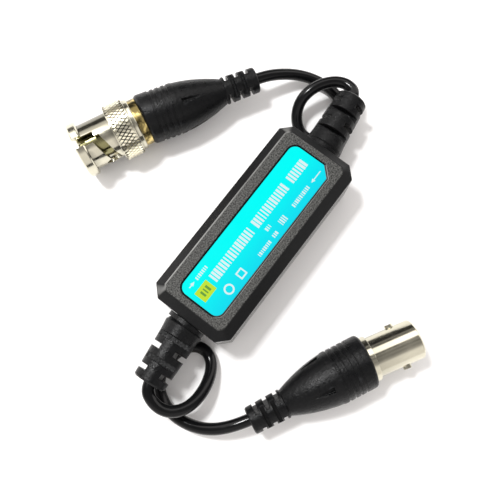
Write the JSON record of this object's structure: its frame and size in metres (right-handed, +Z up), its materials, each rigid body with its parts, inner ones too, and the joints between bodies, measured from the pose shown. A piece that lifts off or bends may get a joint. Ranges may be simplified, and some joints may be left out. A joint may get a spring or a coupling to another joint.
{
  "type": "video ground loop isolator",
  "caption": "Small moulded in-line box with a coaxial lead at each end, one with a bayonet plug and the other with a bayonet jack, both leads looped.",
  "frame": {"origin": "middle of the underside of the box, on the surface that it lies on", "axes": "+X along the box towards the lead with the plug, +Z up out of the labelled face, +Y across the box towards the plug"},
  "size_m": [0.0942, 0.1031, 0.015],
  "materials": {
    "housing": "spark eroded texture, satin bevels",
    "label_film": "printed film",
    "board": "solder mask",
    "ferrite": "matte",
    "enamelled_wire": "enamelled",
    "tinned_wire": "tinned",
    "capacitor_can": "satin can",
    "chip": "matte",
    "soft_pvc": "moulded, semi-matte",
    "cable_sheath": "smooth, glossy",
    "nickel": "nickel plated",
    "gold_plate": "gold plated",
    "dielectric": "white",
    "spring_steel": "spring temper",
    "gasket_rubber": "soft",
    "core_insulation": "plain"
  },
  "bodies": {
    "isolator": {"upper_shell": "housing", "lower_shell": "housing", "label": "label_film", "circuit_board": "board", "toroid_core": "ferrite", "input_winding": "enamelled_wire", "output_winding": "enamelled_wire", "input_capacitor": "capacitor_can", "output_capacitor": "capacitor_can", "chip_resistors": "chip", "plug_centre_wire": "tinned_wire", "plug_screen_tail": "tinned_wire", "jack_centre_wire": "tinned_wire", "jack_screen_tail": "tinned_wire", "strain_relief_plug": "soft_pvc", "strain_relief_jack": "soft_pvc", "lead_plug": "cable_sheath", "lead_jack": "cable_sheath", "plug_body": "nickel", "plug_outer_contact": "nickel", "plug_insulator": "dielectric", "plug_centre_pin": "gold_plate", "snap_ring": "spring_steel", "wave_washer": "spring_steel", "gasket": "gasket_rubber", "plug_crimp_sleeve": "nickel", "plug_core_wire": "core_insulation", "plug_boot": "soft_pvc", "jack_body": "nickel", "jack_insulator": "dielectric", "jack_centre_contact": "gold_plate", "jack_crimp_sleeve": "nickel", "jack_core_wire": "core_insulation", "jack_boot": "soft_pvc"},
    "collar_washer": {"flat_washer": "spring_steel"},
    "collar": {"coupling_collar": "nickel"}
  },
  "joints": [
    {"name": "collar_slide", "type": "slide", "parent": "isolator", "child": "collar_washer", "axis": [-0.9063, 0.4226, 0], "range_m": [0, 0.0006], "stiffness_N_per_m": 6000, "deforming": ["wave_washer"]},
    {"name": "collar_turn", "type": "hinge", "parent": "collar_washer", "child": "collar", "pos_m": [0.00663, 0.04042, 0.0072], "axis": [-0.9063, 0.4226, 0], "continuous": true}
  ]
}
